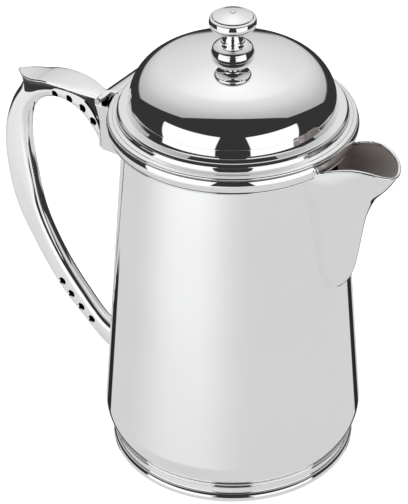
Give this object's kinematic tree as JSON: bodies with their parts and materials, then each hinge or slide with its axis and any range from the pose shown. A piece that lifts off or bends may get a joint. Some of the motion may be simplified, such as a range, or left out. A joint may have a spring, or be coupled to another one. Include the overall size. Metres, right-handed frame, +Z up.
{
  "type": "hot water jug",
  "caption": "Tapered metal jug on a moulded foot, with a beak spout, a C handle with a flat thumb plate and a domed lid hinged at the handle.",
  "frame": {"origin": "on the jug's axis, in the plane that its foot rests on", "axes": "+Z up along the jug's axis, +X towards the spout, -X towards the handle"},
  "size_m": [0.1964, 0.1116, 0.2072],
  "materials": {
    "polished_plate": "mirror-polished silver-coloured plate",
    "satin_plate": "silver-coloured plate, polished outside and softly satin inside",
    "fastener_steel": "turned steel"
  },
  "bodies": {
    "jug": {"body_shell": "polished_plate", "base_disc": "polished_plate", "foot_ring": "polished_plate", "rim_collar": "polished_plate", "spout": "satin_plate", "spout_lip": "polished_plate", "handle_bracket": "polished_plate", "handle": "polished_plate", "handle_pad": "polished_plate", "hinge_pin": "fastener_steel"},
    "lid": {"lid_rim": "polished_plate", "lid_bezel": "polished_plate", "lid_dome": "polished_plate", "lid_hinge_leaf": "polished_plate", "finial": "polished_plate", "finial_stud": "fastener_steel", "finial_washer": "fastener_steel", "finial_nut": "fastener_steel"}
  },
  "joints": [
    {"name": "lid_hinge", "type": "hinge", "parent": "jug", "child": "lid", "pos_m": [-0.058, 0, 0.1541], "axis": [0, -1, 0], "range_deg": [0, 105]}
  ]
}
